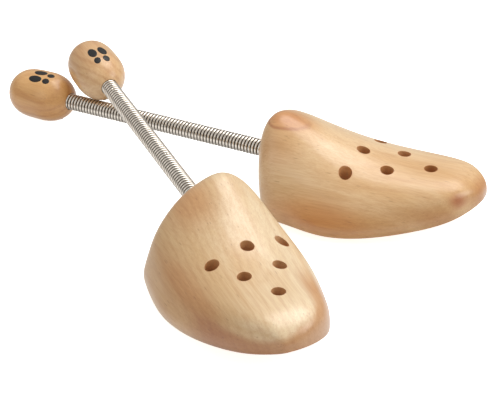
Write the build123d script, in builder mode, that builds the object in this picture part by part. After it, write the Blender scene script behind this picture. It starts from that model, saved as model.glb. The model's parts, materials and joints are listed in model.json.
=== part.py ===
from build123d import *
import math
import os

# A pair of sprung wooden shoe trees, a right one and a left one, lying crossed on
# their flat soles. Each tree is a shaped forepart, a close-wound wire spring and a
# turned heel knob. Lengths are in millimetres, with +Z up and the ground at z = 0.
# In a tree's own frame x runs from the forepart's rear towards the toe and y to the
# wearer's left, so the left forepart is the right one mirrored in y.

# ---- forepart ----
FOREPART_LENGTH = 127.0
# Half-shapes along the length, as Bezier control values spaced evenly from rear to toe
TOP_HEIGHTS = (57.7, 68.2, 34.3, 39.2, 34.6, 39.4, 35.1)
OUTER_HALF_WIDTHS = (43.3, 36.7, 60.8, 34.5, 36.3, 15.1)
INNER_HALF_WIDTHS = (38.7, 20.5, 69.9, 15.5, 39.9, 8.5)
TOP_SQUARENESS = (1.75, 1.56, 3.8)
RIDGE_AT_REAR = 7.6
RIDGE_AT_TOE = -8.0
WIDEST_LINE = 0.14
TOE_SPRING = 21.0
TOE_SPRING_STARTS = 0.28
SOLE_SQUARENESS = 2.3
REAR_ROUND = 0.16
TOE_ROUND = 0.16
END_SQUARENESS = 2.85
REAR_LEAN = -12.7
LEAN_HEIGHT = 60.0
SOLE_CUT = 0.6
STATIONS = (
    0.001, 0.006, 0.02, 0.045, 0.09, 0.15, 0.24, 0.36, 0.49,
    0.62, 0.74, 0.84, 0.91, 0.95, 0.975, 0.99, 0.9985,
)
SECTION_POINTS = 24

# ---- vent holes ----
VENT_RADIUS = 3.75
VENT_FLOOR = 15.0
VENT_ROWS = ((57.4, 21.0, (-1, 0, 1)), (76.4, 10.5, (-1, 1)), (96.7, 0.0, (0,)))
VENT_SKEW = 0.17

# ---- spring ----
SPRING_DIAMETER = 10.0
WIRE_DIAMETER = 1.95
COIL_PITCH = 2.18
SLEEVE_THICKNESS = 0.8
SPRING_VISIBLE = 141.5
SPRING_HEIGHT = 30.6
SPRING_IN_FOREPART = 24.0
SPRING_IN_KNOB = 20.0
COIL_COUNT = 9
BORE_CLEARANCE = 0.2
BORE_RUN_OUT = 15.0
BORE_SPARE = 1.0

# ---- knob ----
KNOB_LENGTH = 44.7
KNOB_RADIUS = 15.1
KNOB_WAIST = 0.41
KNOB_FRONT_SQUARENESS = 2.0
KNOB_BACK_SQUARENESS = 4.2
KNOB_PROFILE_POINTS = 14

# ---- nails ----
NAIL_RADIUS = 0.8
NAIL_HEAD_RADIUS = 1.9
NAIL_HEAD_HEIGHT = 0.8
NAIL_POINT = 0.64
NAIL_RECESS = 0.4
NAIL_CLEARANCE = 0.03
TOE_NAIL_BACK = 12.0
KNOB_NAIL_FORWARD = 11.0
NAIL_PAST_SPRING = 4.0

# ---- how the two trees lie ----
# (x, y) of the rear of the forepart, heading of the toe, and how the spring leaves:
# its rise towards the knob and its swing to the wearer's left
RIGHT_LAY = {"at": (-15.7, -29.09), "heading": -66.7, "rise": 4.1, "swing": -1.5, "hand": 1}
LEFT_LAY = {"at": (18.3, 41.41), "heading": -21.0, "rise": -3.65, "swing": 12.0, "hand": -1}


def bezier(values, u):
    """The Bezier curve with these control values, at u from 0 to 1."""
    degree = len(values) - 1
    total = 0.0
    for i, value in enumerate(values):
        total += math.comb(degree, i) * u**i * (1 - u) ** (degree - i) * value
    return total


def end_rounding(u):
    """How much of its full size the forepart has at u: 1 along the middle, less near the ends."""
    if u < REAR_ROUND:
        q = 1 - u / REAR_ROUND
    elif u > 1 - TOE_ROUND:
        q = (u - 1 + TOE_ROUND) / TOE_ROUND
    else:
        q = 0.0
    return (1 - q**END_SQUARENESS) ** (1 / END_SQUARENESS)


def power(value, exponent):
    return math.copysign(abs(value) ** exponent, value)


def section_lean(u):
    """Forward shift of the section for each millimetre of height."""
    return REAR_LEAN / LEAN_HEIGHT * max(0.0, 1 - 2 * u) ** 2


def section_plane(u):
    """The plane across the forepart at u: local x is the tree's y, local y is up."""
    lean = section_lean(u)
    origin = (u * FOREPART_LENGTH - lean * LEAN_HEIGHT / 2, 0, 0)
    return Plane(origin=origin, x_dir=(0, 1, 0), z_dir=(1, 0, -lean))


def section_points(u, hand):
    """Points round the forepart's section at u, for the right (hand 1) or left (-1) tree."""
    size = end_rounding(u)
    rise = max(0.0, (u - TOE_SPRING_STARTS) / (1 - TOE_SPRING_STARTS))
    bottom = TOE_SPRING * rise**2 - SOLE_CUT
    top = bezier(TOP_HEIGHTS, u)
    widest = bottom + WIDEST_LINE * (top - bottom)
    ridge = RIDGE_AT_REAR + (RIDGE_AT_TOE - RIDGE_AT_REAR) * u
    to_left = (bezier(INNER_HALF_WIDTHS, u) - ridge) * size
    to_right = (bezier(OUTER_HALF_WIDTHS, u) + ridge) * size
    stretch = math.hypot(1, section_lean(u))
    points = []
    for i in range(SECTION_POINTS):
        angle = 2 * math.pi * i / SECTION_POINTS
        across = math.cos(angle)
        up = math.sin(angle)
        if up > 0:
            squareness = bezier(TOP_SQUARENESS, u)
            height = (top - widest) * size
        else:
            squareness = SOLE_SQUARENESS
            height = (widest - bottom) * size
        half_width = to_left if across > 0 else to_right
        y = ridge + half_width * power(across, 2 / squareness)
        z = widest + height * power(up, 2 / squareness)
        points.append((hand * y, z * stretch))
    if hand < 0:
        points.reverse()
    return points


def spring_direction(lay):
    """The way the spring runs from the forepart to the knob, in the tree's own frame."""
    rise = math.radians(lay["rise"])
    swing = math.radians(lay["swing"])
    return Vector(-math.cos(rise) * math.cos(swing), math.cos(rise) * math.sin(swing), math.sin(rise))


def spring_plane(lay, along):
    """A plane across the spring, this far along it from the forepart's rear, facing the knob."""
    direction = spring_direction(lay)
    origin = Vector(0, 0, SPRING_HEIGHT) + direction * along
    return Plane(origin=origin, x_dir=Vector(0, 0, 1).cross(direction), z_dir=direction)


def tree_location(lay):
    x, y = lay["at"]
    return Location((x, y, 0), (0, 0, lay["heading"]))


def vent_centres(hand):
    centres = []
    for x, half_spread, places in VENT_ROWS:
        for place in places:
            y = place * half_spread
            centres.append((x - VENT_SKEW * y, hand * y))
    return centres


def nail(plane, length):
    """A round-shanked nail that starts at the plane's origin and points along its normal."""
    with BuildPart() as piece:
        with BuildSketch(plane):
            Circle(NAIL_HEAD_RADIUS)
        extrude(amount=NAIL_HEAD_HEIGHT)
        with BuildSketch(plane):
            Circle(NAIL_RADIUS)
        extrude(amount=length)
        tip = piece.faces().sort_by(Axis(plane.origin, plane.z_dir))[-1]
        chamfer(tip.edges(), length=NAIL_POINT)
    return piece.part


def toe_nail_plane(lay):
    centre = spring_plane(lay, -TOE_NAIL_BACK).origin
    return Plane(origin=(centre.X, centre.Y, NAIL_RECESS))


def toe_nail_length():
    return SPRING_HEIGHT - NAIL_RECESS + SPRING_DIAMETER / 2 + NAIL_PAST_SPRING


def knob_radius_at(along):
    """The knob's radius this far behind its front end."""
    share = along / KNOB_LENGTH
    if share < KNOB_WAIST:
        q = (KNOB_WAIST - share) / KNOB_WAIST
        squareness = KNOB_FRONT_SQUARENESS
    else:
        q = (share - KNOB_WAIST) / (1 - KNOB_WAIST)
        squareness = KNOB_BACK_SQUARENESS
    return KNOB_RADIUS * math.sqrt(max(0.0, 1 - q**squareness))


def knob_nail_plane(lay):
    """Under the knob's belly, facing up through the spring."""
    across = spring_plane(lay, SPRING_VISIBLE + KNOB_NAIL_FORWARD)
    depth = knob_radius_at(KNOB_NAIL_FORWARD) - NAIL_RECESS
    return Plane(origin=across.origin - across.y_dir * depth, x_dir=across.x_dir, z_dir=across.y_dir)


def knob_nail_length():
    return knob_radius_at(KNOB_NAIL_FORWARD) + SPRING_DIAMETER / 2 + NAIL_PAST_SPRING / 2


def forepart(lay):
    bore_radius = SPRING_DIAMETER / 2 + BORE_CLEARANCE
    pilot = toe_nail_plane(lay)
    with BuildPart() as block:
        for u in STATIONS:
            with BuildSketch(section_plane(u)):
                with BuildLine():
                    Spline(*section_points(u, lay["hand"]), periodic=True)
                make_face()
        loft()
        split(bisect_by=Plane.XY, keep=Keep.TOP)
        with Locations(spring_plane(lay, BORE_RUN_OUT)):
            Hole(bore_radius, depth=BORE_RUN_OUT + SPRING_IN_FOREPART + BORE_SPARE)
        with BuildSketch(Plane.XY.offset(VENT_FLOOR)):
            with Locations(*vent_centres(lay["hand"])):
                Circle(VENT_RADIUS)
        extrude(amount=2 * max(TOP_HEIGHTS), mode=Mode.SUBTRACT)
        with BuildSketch(Plane.XY):
            with Locations((pilot.origin.X, pilot.origin.Y)):
                Circle(NAIL_HEAD_RADIUS + NAIL_CLEARANCE)
        extrude(amount=NAIL_RECESS + NAIL_HEAD_HEIGHT, mode=Mode.SUBTRACT)
        with BuildSketch(Plane.XY):
            with Locations((pilot.origin.X, pilot.origin.Y)):
                Circle(NAIL_RADIUS + NAIL_CLEARANCE)
        extrude(amount=NAIL_RECESS + toe_nail_length(), mode=Mode.SUBTRACT)
    return block.part


def knob(lay):
    front = spring_plane(lay, SPRING_VISIBLE)
    lengthways = Plane(origin=front.origin, x_dir=front.z_dir, z_dir=front.x_dir)
    profile = []
    for i in range(KNOB_PROFILE_POINTS + 1):
        share = 0.5 - 0.5 * math.cos(math.pi * i / KNOB_PROFILE_POINTS)
        profile.append((share * KNOB_LENGTH, knob_radius_at(share * KNOB_LENGTH)))
    pilot = knob_nail_plane(lay)
    with BuildPart() as barrel:
        with BuildSketch(lengthways):
            with BuildLine():
                Spline(*profile, tangents=((0, 1), (0, -1)))
                Line((KNOB_LENGTH, 0), (0, 0))
            make_face()
        revolve(axis=Axis(front.origin, front.z_dir))
        with Locations(Plane(origin=front.origin, x_dir=front.x_dir, z_dir=-front.z_dir)):
            Hole(SPRING_DIAMETER / 2 + BORE_CLEARANCE, depth=SPRING_IN_KNOB + BORE_SPARE)
        with BuildSketch(pilot.offset(-KNOB_RADIUS)):
            Circle(NAIL_HEAD_RADIUS + NAIL_CLEARANCE)
        extrude(amount=KNOB_RADIUS + NAIL_HEAD_HEIGHT, mode=Mode.SUBTRACT)
        with BuildSketch(pilot):
            Circle(NAIL_RADIUS + NAIL_CLEARANCE)
        extrude(amount=knob_nail_length(), mode=Mode.SUBTRACT)
    return barrel.part


def coil_ends(number):
    """Where coil number 1 to COIL_COUNT starts and stops along the spring."""
    visible = SPRING_VISIBLE / COIL_COUNT
    start = (number - 1) * visible if number > 1 else -SPRING_IN_FOREPART
    stop = number * visible if number < COIL_COUNT else SPRING_VISIBLE + SPRING_IN_KNOB
    return start, stop


def coil(lay, number):
    """A short run of the close-wound spring: a ring for each turn, on a thin sleeve that joins them."""
    start, stop = coil_ends(number)
    turns = range(math.floor(start / COIL_PITCH), math.ceil(stop / COIL_PITCH))
    wire_centre = (SPRING_DIAMETER - WIRE_DIAMETER) / 2
    across = spring_plane(lay, 0)
    lengthways = Plane(origin=across.origin, x_dir=across.z_dir, z_dir=across.x_dir)
    with BuildPart() as run:
        with BuildSketch(lengthways):
            with Locations(*[((turn + 0.5) * COIL_PITCH, wire_centre) for turn in turns]):
                Circle(WIRE_DIAMETER / 2)
            with Locations(((start + stop) / 2, wire_centre)):
                Rectangle(stop - start, SLEEVE_THICKNESS)
                Rectangle(stop - start, 2 * WIRE_DIAMETER, mode=Mode.INTERSECT)
        revolve(axis=Axis(across.origin, across.z_dir))
    return run.part


def write(piece, lay, name):
    placed = piece.moved(tree_location(lay))
    placed.label = name
    export_step(placed, f"parts/{name}.step")


os.makedirs("parts", exist_ok=True)
for side, lay in (("right", RIGHT_LAY), ("left", LEFT_LAY)):
    write(forepart(lay), lay, f"{side}_forepart")
    write(knob(lay), lay, f"{side}_knob")
    write(nail(toe_nail_plane(lay), toe_nail_length()), lay, f"{side}_toe_nail")
    write(nail(knob_nail_plane(lay), knob_nail_length()), lay, f"{side}_knob_nail")
    for number in range(1, COIL_COUNT + 1):
        write(coil(lay, number), lay, f"{side}_spring_coil_{number}")
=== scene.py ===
"""A crossed pair of sprung wooden shoe trees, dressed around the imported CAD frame."""

import json
import math

import bmesh
import bpy
import numpy as np
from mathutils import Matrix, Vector
from mathutils.bvhtree import BVHTree


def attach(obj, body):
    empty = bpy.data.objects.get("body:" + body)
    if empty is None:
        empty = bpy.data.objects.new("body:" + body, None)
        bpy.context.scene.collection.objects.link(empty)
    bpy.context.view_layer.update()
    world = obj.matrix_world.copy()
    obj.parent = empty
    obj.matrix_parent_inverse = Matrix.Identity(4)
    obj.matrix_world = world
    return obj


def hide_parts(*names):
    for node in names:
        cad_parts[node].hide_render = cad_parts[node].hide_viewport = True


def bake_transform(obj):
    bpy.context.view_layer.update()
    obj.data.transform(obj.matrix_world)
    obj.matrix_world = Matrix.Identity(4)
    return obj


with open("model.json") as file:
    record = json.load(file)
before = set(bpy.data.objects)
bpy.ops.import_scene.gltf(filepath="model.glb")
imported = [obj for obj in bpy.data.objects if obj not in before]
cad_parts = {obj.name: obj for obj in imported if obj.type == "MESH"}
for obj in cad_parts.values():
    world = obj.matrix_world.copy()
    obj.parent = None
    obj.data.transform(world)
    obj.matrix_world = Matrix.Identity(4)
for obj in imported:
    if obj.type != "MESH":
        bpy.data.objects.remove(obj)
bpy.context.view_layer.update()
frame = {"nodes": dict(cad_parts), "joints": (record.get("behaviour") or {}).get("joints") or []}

MM = 0.001
SIDES = ("right", "left")

# ---- the trees, as part.py has them ----
HEADING = {"right": math.radians(-66.7), "left": math.radians(-21.0)}
COILS = 9
WIRE_RADIUS = 0.975 * MM
SPRING_RADIUS = 5.0 * MM
TURN_PITCH = 2.18 * MM
HIDDEN_IN_FOREPART = 23.0 * MM
HIDDEN_IN_KNOB = 19.0 * MM
KNOB_LENGTH = 44.7 * MM
VENT_RADIUS = 3.75 * MM
VENT_FLOOR = 15.0 * MM
VENT_ROWS = ((57.4, 21.0, (-1, 0, 1)), (76.4, 10.5, (-1, 1)), (96.7, 0.0, (0,)))
VENT_SKEW = 0.17

# ---- spring mesh ----
STEPS_PER_TURN = 36
WIRE_SIDES = 12


def joint_point(name):
    for joint in frame["joints"]:
        if joint["name"] == name:
            return Vector(joint["pos_m"])
    raise KeyError(name)


def spring_line(side):
    """Where the spring leaves the forepart, where it meets the knob, and its direction."""
    first = joint_point(f"{side}_spring_up_1")
    last = joint_point(f"{side}_spring_side_4")
    spacing = (last - first) / (COILS - 2)
    return first - spacing, last + spacing, spacing.normalized()


# ---------------------------------------------------------------- node helpers
class Nodes:
    """A short way to write a node tree: each call adds a node and returns its first output."""

    def __init__(self, tree):
        self.tree = tree

    def add(self, kind, inputs=None, **settings):
        node = self.tree.nodes.new(kind)
        for key, value in settings.items():
            setattr(node, key, value)
        for key, value in (inputs or {}).items():
            socket = node.inputs[key]
            if isinstance(value, bpy.types.NodeSocket):
                self.tree.links.new(value, socket)
            else:
                socket.default_value = value
        return node

    def math(self, operation, a, b=0.0, c=0.0, clamp=False):
        node = self.add("ShaderNodeMath", {0: a, 1: b, 2: c}, operation=operation, use_clamp=clamp)
        return node.outputs[0]

    def mix(self, factor, a, b, blend="MIX"):
        node = self.add("ShaderNodeMix", data_type="RGBA", blend_type=blend)
        for key, value in (("Factor_Float", factor), ("A_Color", a), ("B_Color", b)):
            socket = next(s for s in node.inputs if s.identifier == key)
            if isinstance(value, bpy.types.NodeSocket):
                self.tree.links.new(value, socket)
            else:
                socket.default_value = value
        return next(s for s in node.outputs if s.identifier == "Result_Color")

    def noise(self, vector, scale, detail=3.0, roughness=0.5, distortion=0.0):
        node = self.add("ShaderNodeTexNoise", {"Vector": vector, "Scale": scale, "Detail": detail,
                                               "Roughness": roughness, "Distortion": distortion})
        return node.outputs["Fac"]

    def stretch(self, vector, scale, location=(0, 0, 0), rotation=(0, 0, 0)):
        return self.add("ShaderNodeMapping", {"Vector": vector, "Scale": scale, "Location": location,
                                              "Rotation": rotation}).outputs[0]

    def vector(self, operation, a, b=(0, 0, 0)):
        outputs = self.add("ShaderNodeVectorMath", {0: a, 1: b}, operation=operation).outputs
        return outputs["Value"] if operation in ("DOT_PRODUCT", "DISTANCE", "LENGTH") else outputs["Vector"]

    def axes(self, vector):
        return self.add("ShaderNodeSeparateXYZ", {"Vector": vector}).outputs

    def around_zero(self, value, width):
        """A noise of 0 to 1 made to swing this wide about zero."""
        return self.math("MULTIPLY", self.math("SUBTRACT", value, 0.5), width)

    def both(self, a, b):
        return self.math("MULTIPLY", a, b)

    def ramp(self, value, low, high, to_low=0.0, to_high=1.0):
        node = self.add("ShaderNodeMapRange", {"Value": value, "From Min": low, "From Max": high,
                                               "To Min": to_low, "To Max": to_high},
                        interpolation_type="SMOOTHSTEP")
        return node.outputs[0]


def linear(r, g, b):
    """An sRGB colour, 0 to 255, as the linear RGBA that a node takes."""
    def channel(v):
        v /= 255
        return v / 12.92 if v <= 0.04045 else ((v + 0.055) / 1.055) ** 2.4
    return (channel(r), channel(g), channel(b), 1.0)


def new_material(name):
    material = bpy.data.materials.new(name)
    material.use_nodes = True
    tree = material.node_tree
    tree.nodes.clear()
    nodes = Nodes(tree)
    shader = nodes.add("ShaderNodeBsdfPrincipled")
    output = nodes.add("ShaderNodeOutputMaterial")
    tree.links.new(shader.outputs[0], output.inputs["Surface"])
    return material, nodes, shader


# ---------------------------------------------------------------- wood
# what darkens the wood, each multiplied over it
LATE_WOOD = linear(200, 148, 92)
FIBRE = linear(214, 168, 116)
FINE_FIBRE = linear(196, 148, 98)
RAY = linear(160, 100, 60)
STREAK_LINE = linear(196, 134, 86)
STREAK_GLOW = linear(238, 202, 160)
# bare wood inside the vents, darkened further as painted shade
BARE_WOOD_AND_HOLE_SHADE = linear(226, 166, 98)
# the lacquer
COAT_WEIGHT = 0.9
COAT_ROUGHNESS = 0.28
DRILLED_EDGE = 0.25 * MM


def growth_rings(n, grain, shifted, cloud, rings):
    """How much late wood shows, in rings that the curl of the grain bends."""
    bend = n.noise(n.stretch(shifted, (12, 22, 22)), 1.0, 2.0, 0.5)
    rings_at = n.stretch(grain, (1, 1, 1), location=rings["centre"], rotation=rings["tilt"])
    wave = n.add("ShaderNodeTexWave",
                 {"Vector": rings_at, "Scale": 2 * math.pi / 20 / rings["gap"], "Distortion": 1.0,
                  "Detail": 2.0, "Detail Scale": 40.0, "Detail Roughness": 0.5,
                  "Phase Offset": n.both(bend, 26.0)},
                 wave_type="RINGS", rings_direction="X", wave_profile="SIN").outputs["Fac"]
    late_wood = n.both(n.ramp(wave, 0.5, 1.0), n.ramp(cloud, 0.3, 0.65, 0.3, 1.0))
    return n.both(late_wood, rings["strength"])


def ray_flecks(n, shifted):
    """The short dark flecks of the rays: about one cell in six has one."""
    cells = n.add("ShaderNodeTexVoronoi",
                  {"Vector": n.stretch(shifted, (110, 800, 800)), "Scale": 1.0, "Randomness": 1.0},
                  feature="F1")
    chance = n.add("ShaderNodeSeparateColor", {"Color": cells.outputs["Color"]}).outputs[0]
    return n.both(n.ramp(cells.outputs["Distance"], 0.1, 0.32, 1.0, 0.0), n.ramp(chance, 0.8, 0.88))


def add_streak(n, colour, grain, shifted, streak):
    """A thin dark line with warmer wood above it, which fades along the grain and round the far side."""
    wander = n.around_zero(n.noise(n.stretch(shifted, (60, 20, 20)), 1.0), 0.002)
    level = n.math("SUBTRACT", n.math("ADD", n.vector("DOT_PRODUCT", grain, streak["across"]), wander),
                   streak["level"])
    along, across, _ = n.axes(grain)
    line = n.ramp(n.math("ABSOLUTE", level), 0.0001, 0.0009, 1.0, 0.0)
    above = n.both(n.ramp(level, -0.0003, 0.0008), n.ramp(level, 0.002, 0.008, 1.0, 0.2))
    fade = n.both(n.ramp(along, streak["length"] * 0.4, streak["length"], 1.0, 0.0),
                  n.ramp(across, streak["far_side"] - 0.006, streak["far_side"], 1.0, 0.0))
    colour = n.mix(n.both(n.both(above, fade), 0.35), colour, STREAK_GLOW, "MULTIPLY")
    return n.mix(n.both(n.both(line, fade), 0.6), colour, STREAK_LINE, "MULTIPLY")


def add_toe_shade(n, colour, grain, cloud, toe_shade):
    """Painted shade under the toe's upper edge, where the surface turns down away from the light."""
    level = n.math("ADD", n.vector("DOT_PRODUCT", grain, toe_shade["across"]), n.around_zero(cloud, 0.006))
    under = n.ramp(level, toe_shade["level"] - 0.005, toe_shade["level"], 1.0, 0.0)
    forward = n.ramp(n.axes(grain)[0], toe_shade["starts"], toe_shade["starts"] + 0.03, 0.0, toe_shade["share"])
    return n.mix(n.both(under, forward), colour, toe_shade["colour"], "MULTIPLY")


def add_stain(n, colour, grain, ragged, centre, spread, stain, strength):
    """A soft stain, its centre and spread in millimetres, broken up by the clouds of the grain."""
    apart = n.vector("SUBTRACT", grain, tuple(v * MM for v in centre))
    apart = n.vector("DIVIDE", apart, tuple(v * MM for v in spread))
    away = n.math("ADD", n.vector("LENGTH", apart), ragged)
    return n.mix(n.ramp(away, 0.2, 1.4, strength, 0.0), colour, stain, "MULTIPLY")


def near_any(n, grain, spots, reach):
    """1 within reach of any of the spots, seen from above, and 0 a little further out."""
    flat = n.vector("MULTIPLY", grain, (1, 1, 0))
    nearest = 1.0
    for x, y in spots:
        nearest = n.math("MINIMUM", n.vector("DISTANCE", flat, (x, y, 0)), nearest)
    return n.ramp(nearest, reach, reach + DRILLED_EDGE, 1.0, 0.0)


def wood(name, origin, heading, pale, tan, amber, seed, rings,
         shade_lean=(0, 0, 0), vents=(), streak=None, toe_shade=None, stains=()):
    """Lacquered beech or birch. x of the grain frame runs from origin along heading, and z is up.

    How far the wood turns tan for each metre along x, y and z is painted shade: tan lower down and, on the
    right tree, on the side turned from the key light."""
    material, n, shader = new_material(name)
    place = n.add("ShaderNodeTexCoord").outputs["Object"]
    height = n.axes(place)[2]
    grain = n.add("ShaderNodeMapping", {"Vector": place, "Location": origin, "Rotation": (0, 0, heading)},
                  vector_type="TEXTURE").outputs[0]
    shifted = n.stretch(grain, (1, 1, 1), location=(seed * 1.7, seed * 0.9, seed * 2.3))

    # broad change from sapwood to heartwood, drawn out along the grain
    broad = n.noise(n.stretch(shifted, (8, 26, 26)), 1.0, 2.0, 0.45, 0.3)
    cloud = n.noise(n.stretch(shifted, (22, 90, 90)), 1.0, 3.0, 0.55, 0.6)
    # painted shade: more tan lower down and on the side turned from the key light
    shade_gain = n.vector("DOT_PRODUCT", grain, shade_lean)
    share = n.math("ADD", n.math("ADD", n.both(broad, 0.7), n.both(cloud, 0.3)), shade_gain)
    colour = n.mix(n.ramp(share, 0.32, 0.68), pale, tan)

    # darker and more amber towards the lower edge: partly lacquer pooling there, partly painted shade
    low = n.math("ADD", height, n.around_zero(broad, 0.02))
    colour = n.mix(n.ramp(low, 0.004, 0.034, 0.35, 0.0), colour, amber, "MULTIPLY")

    # rings, fibres and flecks
    colour = n.mix(growth_rings(n, grain, shifted, cloud, rings), colour, LATE_WOOD, "MULTIPLY")
    fibre = n.noise(n.stretch(shifted, (24, 900, 900)), 1.0, 3.0, 0.6)
    fine = n.noise(n.stretch(shifted, (90, 3200, 3200)), 1.0, 2.0, 0.6)
    colour = n.mix(n.ramp(fibre, 0.3, 0.75, 0.0, 0.26), colour, FIBRE, "MULTIPLY")
    colour = n.mix(n.ramp(fine, 0.35, 0.8, 0.0, 0.24), colour, FINE_FIBRE, "MULTIPLY")
    colour = n.mix(n.both(ray_flecks(n, shifted), 0.32), colour, RAY, "MULTIPLY")

    # what one block of wood has and the next one hasn't, and painted shade under the toe
    if streak:
        colour = add_streak(n, colour, grain, shifted, streak)
    if toe_shade:
        colour = add_toe_shade(n, colour, grain, cloud, toe_shade)
    for centre, spread, stain, strength in stains:
        colour = add_stain(n, colour, grain, n.around_zero(cloud, 1.1), centre, spread, stain, strength)

    # the vents are drilled after lacquering: bare, rougher wood inside, with painted shade that deepens
    # down the hole
    bare = 0.0
    if vents:
        bare = near_any(n, grain, vents, VENT_RADIUS)
        hole_shade = n.ramp(height, VENT_FLOOR, 2.2 * VENT_FLOOR, 1.0, 0.55)
        colour = n.mix(n.both(bare, hole_shade), colour, BARE_WOOD_AND_HOLE_SHADE, "MULTIPLY")

    links = n.tree.links
    links.new(colour, shader.inputs["Base Color"])
    gloss = n.ramp(fibre, 0.2, 0.8, 0.38, 0.5)
    links.new(n.math("ADD", gloss, n.both(bare, 0.4)), shader.inputs["Roughness"])
    shader.inputs["Specular IOR Level"].default_value = 0.5
    shader.inputs["Coat Weight"].default_value = COAT_WEIGHT
    shader.inputs["Coat Roughness"].default_value = COAT_ROUGHNESS
    relief = n.math("ADD", n.both(fibre, 0.6), n.both(cloud, 1.4))
    bump = n.add("ShaderNodeBump", {"Strength": 0.15, "Distance": 0.0004, "Height": relief})
    links.new(bump.outputs[0], shader.inputs["Normal"])
    return material


def vent_spots(hand):
    """The vents' centres in the tree's own frame, hand 1 for the right tree and -1 for the left."""
    spots = []
    for x, half_spread, places in VENT_ROWS:
        for place in places:
            y = place * half_spread
            spots.append(((x - VENT_SKEW * y) * MM, hand * y * MM))
    return spots


# ---------------------------------------------------------------- steel
def steel(name, colour, roughness, scratches, crevice_shade=False):
    """Bright or dull steel. On the spring, painted shade darkens the wire where it turns in towards the
    next turn.
    """
    material, n, shader = new_material(name)
    place = n.add("ShaderNodeTexCoord").outputs["Object"]
    drawn = n.noise(n.stretch(place, (700, 700, 700)), 1.0, 4.0, 0.6)
    film = n.noise(place, 60.0, 3.0, 0.5)
    tone = n.mix(n.ramp(film, 0.35, 0.7, 0.0, 0.2), colour, linear(176, 164, 148))
    if crevice_shade:
        outward = n.add("ShaderNodeAttribute", attribute_name="outward").outputs["Fac"]
        # painted shade between the turns, on the side of the wire that faces inward
        tone = n.mix(n.ramp(outward, 0.3, 0.92, 1.0, 0.0), tone, linear(92, 78, 66), "MULTIPLY")
    n.tree.links.new(tone, shader.inputs["Base Color"])
    n.tree.links.new(n.ramp(drawn, 0.3, 0.75, roughness, roughness + scratches), shader.inputs["Roughness"])
    shader.inputs["Metallic"].default_value = 1.0
    return material


def ink(name):
    material, n, shader = new_material(name)
    place = n.add("ShaderNodeTexCoord").outputs["Object"]
    cover = n.noise(place, 1500.0, 3.0, 0.6)
    tone = n.mix(n.ramp(cover, 0.55, 0.8), linear(18, 15, 13), linear(40, 31, 25))
    n.tree.links.new(tone, shader.inputs["Base Color"])
    n.tree.links.new(n.ramp(cover, 0.3, 0.7, 0.4, 0.55), shader.inputs["Roughness"])
    return material


# ---------------------------------------------------------------- mesh helpers
def mesh_object(name, points, faces, material, smooth=True):
    mesh = bpy.data.meshes.new(name)
    mesh.from_pydata([tuple(p) for p in points], [], faces)
    mesh.validate()
    mesh.polygons.foreach_set("use_smooth", [smooth] * len(mesh.polygons))
    mesh.materials.append(material)
    obj = bpy.data.objects.new(name, mesh)
    bpy.context.scene.collection.objects.link(obj)
    return obj


def helix_run(name, origin, direction, begin, end, material):
    """One run of the spring's wire, from begin to end along its axis, with flat ends."""
    side = direction.cross(Vector((0, 0, 1))).normalized()
    up = side.cross(direction)
    steps = max(2, round((end - begin) / TURN_PITCH * STEPS_PER_TURN))
    along = np.linspace(begin, end, steps + 1)
    angle = 2 * math.pi * along / TURN_PITCH
    axis, x_dir, y_dir = (np.array(v) for v in (direction, side, up))
    radius = SPRING_RADIUS - WIRE_RADIUS
    outward = np.cos(angle)[:, None] * x_dir + np.sin(angle)[:, None] * y_dir
    centre = np.array(origin) + along[:, None] * axis + radius * outward
    around = -np.sin(angle)[:, None] * x_dir + np.cos(angle)[:, None] * y_dir
    tangent = around * (2 * math.pi * radius) + axis * TURN_PITCH
    tangent /= np.linalg.norm(tangent, axis=1)[:, None]
    across = np.cross(tangent, outward)
    points, faces = [], []
    for j in range(WIRE_SIDES):
        turn = 2 * math.pi * j / WIRE_SIDES
        points.append(centre + WIRE_RADIUS * (math.cos(turn) * outward + math.sin(turn) * across))
    points = np.stack(points, axis=1).reshape(-1, 3)
    for i in range(steps):
        for j in range(WIRE_SIDES):
            k = (j + 1) % WIRE_SIDES
            a, b = i * WIRE_SIDES, (i + 1) * WIRE_SIDES
            faces.append((a + j, b + j, b + k, a + k))
    faces.append(tuple(range(WIRE_SIDES)))
    faces.append(tuple(steps * WIRE_SIDES + j for j in reversed(range(WIRE_SIDES))))
    obj = mesh_object(name, points, faces, material)
    outward_share = np.tile(np.cos(2 * math.pi * np.arange(WIRE_SIDES) / WIRE_SIDES), steps + 1)
    obj.data.attributes.new("outward", "FLOAT", "POINT").data.foreach_set("value", outward_share)
    bm = bmesh.new()
    bm.from_mesh(obj.data)
    bmesh.ops.recalc_face_normals(bm, faces=bm.faces)
    bm.to_mesh(obj.data)
    bm.free()
    return obj


def body_of_coil(side, number):
    if number == 1:
        return f"{side}_forepart"
    if number == COILS:
        return f"{side}_knob"
    return f"{side}_coil_{number}"


def build_spring(side, material):
    start, stop, direction = spring_line(side)
    length = (stop - start).length
    coil = length / COILS
    edges = [-HIDDEN_IN_FOREPART] + [(k + 0.5) * coil for k in range(COILS)] + [length + HIDDEN_IN_KNOB]
    for k in range(COILS + 1):
        run = helix_run(f"{side}_spring_wire_{k + 1}", start, direction, edges[k], edges[k + 1], material)
        if k == 0:
            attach(run, body_of_coil(side, 1))
            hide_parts(f"{side}_spring_coil_1")
        elif k == COILS:
            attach(run, body_of_coil(side, COILS))
        else:
            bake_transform(run)
            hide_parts(f"{side}_spring_coil_{k + 1}")


# ---------------------------------------------------------------- the printed mark
MARK_DISKS = (
    # a plain pair of soles: (along, across, half length, half width), in millimetres
    (2.3, 3.1, 4.6, 2.5), (-5.5, 2.8, 2.3, 2.0),
    (2.3, -3.1, 4.6, 2.5), (-5.5, -2.8, 2.3, 2.0),
)
MARK_RINGS = 5
MARK_SEGMENTS = 40
MARK_LIFT = 0.05 * MM
MARK_DEPTH = 0.12 * MM
MARK_PROBE = 50.0 * MM      # how far outside the knob its surface is looked for


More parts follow.
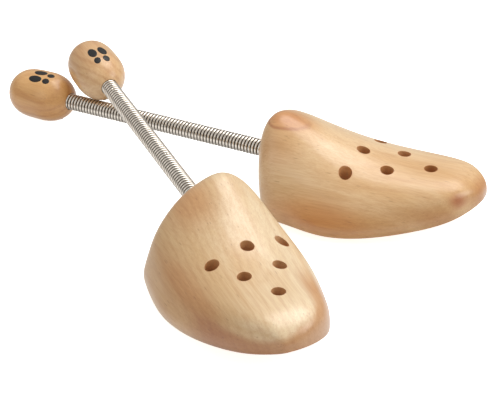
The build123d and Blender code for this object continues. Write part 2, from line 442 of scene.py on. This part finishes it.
def build_mark(side, along, roll, material):
    """The mark lies on the knob's surface, this far behind its front and rolled round its axis."""
    knob = frame["nodes"][f"{side}_knob"]
    start, stop, direction = spring_line(side)
    level = direction.cross(Vector((0, 0, 1))).normalized()
    up = level.cross(direction)
    outward = up * math.cos(roll) + level * math.sin(roll)
    sideways = direction.cross(outward)
    tree = BVHTree.FromPolygons([v.co for v in knob.data.vertices],
                                [p.vertices for p in knob.data.polygons])
    points, faces = [], []
    for x0, y0, half_length, half_width in MARK_DISKS:
        first = len(points)
        spots = [(0.0, 0.0)]
        for ring in range(1, MARK_RINGS + 1):
            for i in range(MARK_SEGMENTS):
                angle = 2 * math.pi * i / MARK_SEGMENTS
                size = ring / MARK_RINGS
                spots.append((size * math.cos(angle) * half_length, size * math.sin(angle) * half_width))
        for lift in (MARK_LIFT, MARK_LIFT - MARK_DEPTH):
            for x, y in spots:
                u = (x0 + x) * MM
                v = (y0 + y) * MM
                above = stop + direction * (along + u) + sideways * v + outward * MARK_PROBE
                hit, normal, _, _ = tree.ray_cast(above, -outward)
                if normal.dot(outward) < 0:
                    normal = -normal
                points.append(hit + normal * lift)
        count = len(spots)
        for layer in (0, 1):
            base = first + layer * count
            for i in range(MARK_SEGMENTS):
                j = (i + 1) % MARK_SEGMENTS
                faces.append((base, base + 1 + i, base + 1 + j))
                for ring in range(MARK_RINGS - 1):
                    a = base + 1 + ring * MARK_SEGMENTS
                    b = a + MARK_SEGMENTS
                    faces.append((a + i, b + i, b + j, a + j))
        rim = first + 1 + (MARK_RINGS - 1) * MARK_SEGMENTS
        for i in range(MARK_SEGMENTS):
            j = (i + 1) % MARK_SEGMENTS
            faces.append((rim + i, rim + j, rim + count + j, rim + count + i))
    mark = mesh_object(f"{side}_knob_mark", points, faces, material)
    bm = bmesh.new()
    bm.from_mesh(mark.data)
    bmesh.ops.recalc_face_normals(bm, faces=bm.faces)
    bm.to_mesh(mark.data)
    bm.free()
    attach(mark, f"{side}_knob")


# ---------------------------------------------------------------- materials on the CAD nodes
def dress(node, material):
    obj = frame["nodes"][node]
    obj.data.materials.clear()
    obj.data.materials.append(material)


right_start, right_stop, right_way = spring_line("right")
left_start, left_stop, left_way = spring_line("left")

dress("right_forepart", wood(
    "right_forepart_birch", right_start, HEADING["right"], linear(243, 224, 188), linear(220, 184, 133),
    linear(230, 186, 118), 1.0, shade_lean=(0, -6.0, -1.5), vents=vent_spots(1),
    rings={"centre": (0, 0.16, 0.03), "tilt": (0, 0, math.radians(5)), "gap": 0.0042, "strength": 0.13},
    # painted shade under the toe's upper edge
    toe_shade={"across": (0, -0.25, 1), "level": 0.0035, "starts": 0.066, "colour": linear(206, 148, 78),
          "share": 0.7},
    stains=(((18, -15, 18), (20, 15, 16), linear(220, 172, 108), 0.65),
            ((66, -36, -4), (46, 9, 12), linear(222, 166, 98), 0.5))))
dress("left_forepart", wood(
    "left_forepart_birch", left_start, HEADING["left"], linear(241, 213, 170), linear(216, 171, 112),
    linear(238, 206, 154), 4.0, shade_lean=(0, 0, -4.0), vents=vent_spots(-1),
    rings={"centre": (0, -0.18, 0.05), "tilt": (0, 0, math.radians(-4)), "gap": 0.006, "strength": 0.1},
    streak={"across": (0.055, 0.0, 1.0), "level": 0.0241, "length": 0.038, "far_side": 0.002},
    stains=(((42, -38, -15), (34, 10, 11), linear(240, 188, 118), 0.5),
            ((10, -20, 12), (15, 12, 12), linear(226, 180, 118), 0.35),
            ((18, -4, 27), (26, 16, 8), linear(230, 190, 138), 0.8),
            ((126, 2, -3), (6, 16, 10), linear(226, 174, 120), 0.5),
            ((104, -23, -10), (28, 7, 6), linear(212, 162, 100), 0.45),
            ((117, -15.5, -1.5), (7, 6, 4.5), linear(204, 124, 80), 0.7))))
dress("right_knob", wood(
    "right_knob_birch", right_stop, math.atan2(-right_way.y, -right_way.x), linear(233, 197, 148),
    linear(214, 166, 110), linear(236, 200, 152), 7.0,
    rings={"centre": (0, 0.03, 0.02), "tilt": (0, math.radians(6), 0), "gap": 0.004, "strength": 0.26}))
dress("left_knob", wood(
    "left_knob_birch", left_stop, math.atan2(-left_way.y, -left_way.x), linear(234, 184, 118),
    linear(218, 162, 94), linear(236, 200, 146), 11.0,
    rings={"centre": (0, -0.03, 0.03), "tilt": (0, math.radians(-5), 0), "gap": 0.004, "strength": 0.26}))

spring_steel = steel("bright_spring_steel", linear(240, 232, 221), 0.2, 0.06, crevice_shade=True)
nail_steel = steel("dull_nail_steel", linear(150, 146, 140), 0.36, 0.18)
mark_ink = ink("matt_black_ink")
for side in SIDES:
    dress(f"{side}_toe_nail", nail_steel)
    dress(f"{side}_knob_nail", nail_steel)
    build_spring(side, spring_steel)
build_mark("right", 17.2 * MM, math.radians(-2.6), mark_ink)
build_mark("left", 19.8 * MM, math.radians(-12.7), mark_ink)

# ---------------------------------------------------------------- studio
scene = bpy.context.scene
scene.view_settings.view_transform = "Standard"
scene.view_settings.look = "None"
scene.view_settings.exposure = 0.0
scene.view_settings.gamma = 1.0

FLOOR_HALF = 4.0
FLOOR_GLOW = 0.75           # keeps the floor white right up to the wood
corners = [(x * FLOOR_HALF, y * FLOOR_HALF, 0) for x, y in ((-1, -1), (1, -1), (1, 1), (-1, 1))]
floor_material, floor_nodes, floor_shader = new_material("white_paper")
paper = floor_nodes.noise(floor_nodes.add("ShaderNodeTexCoord").outputs["Object"], 3.0, 2.0)
floor_colour = floor_nodes.mix(paper, (0.93, 0.93, 0.93, 1), (0.95, 0.95, 0.95, 1))
floor_nodes.tree.links.new(floor_colour, floor_shader.inputs["Base Color"])
floor_shader.inputs["Roughness"].default_value = 0.8
floor_shader.inputs["Specular IOR Level"].default_value = 0.2
floor_shader.inputs["Emission Color"].default_value = (1.0, 1.0, 1.0, 1.0)
floor_shader.inputs["Emission Strength"].default_value = FLOOR_GLOW
floor = mesh_object("studio_floor", corners, [(0, 1, 2, 3)], floor_material, smooth=False)
floor.visible_diffuse = False
floor.visible_glossy = False

world = bpy.data.worlds.new("studio")
scene.world = world
world.use_nodes = True
world.node_tree.nodes.clear()
sky = Nodes(world.node_tree)
upward = sky.axes(sky.add("ShaderNodeTexCoord").outputs["Generated"])[2]
above = sky.ramp(upward, 0.1, 0.7, 0.36, 0.62)
bounce = sky.ramp(upward, -0.4, -0.02, 0.7, 0.0)            # off the white floor
under_shadow = sky.ramp(upward, -0.95, -0.5, 0.6, 0.0)      # less of it comes from right below
brightness = sky.math("SUBTRACT", sky.math("ADD", above, bounce), under_shadow)
background = sky.add("ShaderNodeBackground", {"Color": (1.0, 0.99, 0.975, 1.0), "Strength": brightness})
sky.tree.links.new(background.outputs[0], sky.add("ShaderNodeOutputWorld").inputs["Surface"])


def softbox(name, place, aim, size, power, colour=(1.0, 0.985, 0.96)):
    lamp = bpy.data.lights.new(name, "AREA")
    lamp.shape = "RECTANGLE"
    lamp.size, lamp.size_y = size
    lamp.energy = power
    lamp.color = colour
    obj = bpy.data.objects.new(name, lamp)
    scene.collection.objects.link(obj)
    obj.location = place
    obj.rotation_euler = (Vector(aim) - Vector(place)).to_track_quat("-Z", "Y").to_euler()


softbox("key_softbox", (0.38, 0.33, 1.18), (0, 0, 0.02), (1.0, 0.85), 9.0)
softbox("right_softbox", (1.3, -0.35, 0.7), (0, 0, 0.03), (0.8, 0.8), 6.0)
softbox("left_softbox", (-1.1, -0.8, 0.6), (0, 0, 0.03), (0.9, 0.9), 1.8)

# ---------------------------------------------------------------- camera
FRAME_WIDTH = 500
FOCAL_IN_FRAME = 1832.77
ELEVATION = math.radians(30.09)
DISTANCE = 1.0588
TARGET = Vector((0.00841, 0.03619, 0.0))
camera_data = bpy.data.cameras.new("camera")
camera_data.sensor_width = 36.0
camera_data.lens = FOCAL_IN_FRAME * camera_data.sensor_width / FRAME_WIDTH
camera = bpy.data.objects.new("camera", camera_data)
scene.collection.objects.link(camera)
camera.location = TARGET + DISTANCE * Vector((0, -math.cos(ELEVATION), math.sin(ELEVATION)))
camera.rotation_euler = (TARGET - camera.location).to_track_quat("-Z", "Y").to_euler()
scene.camera = camera
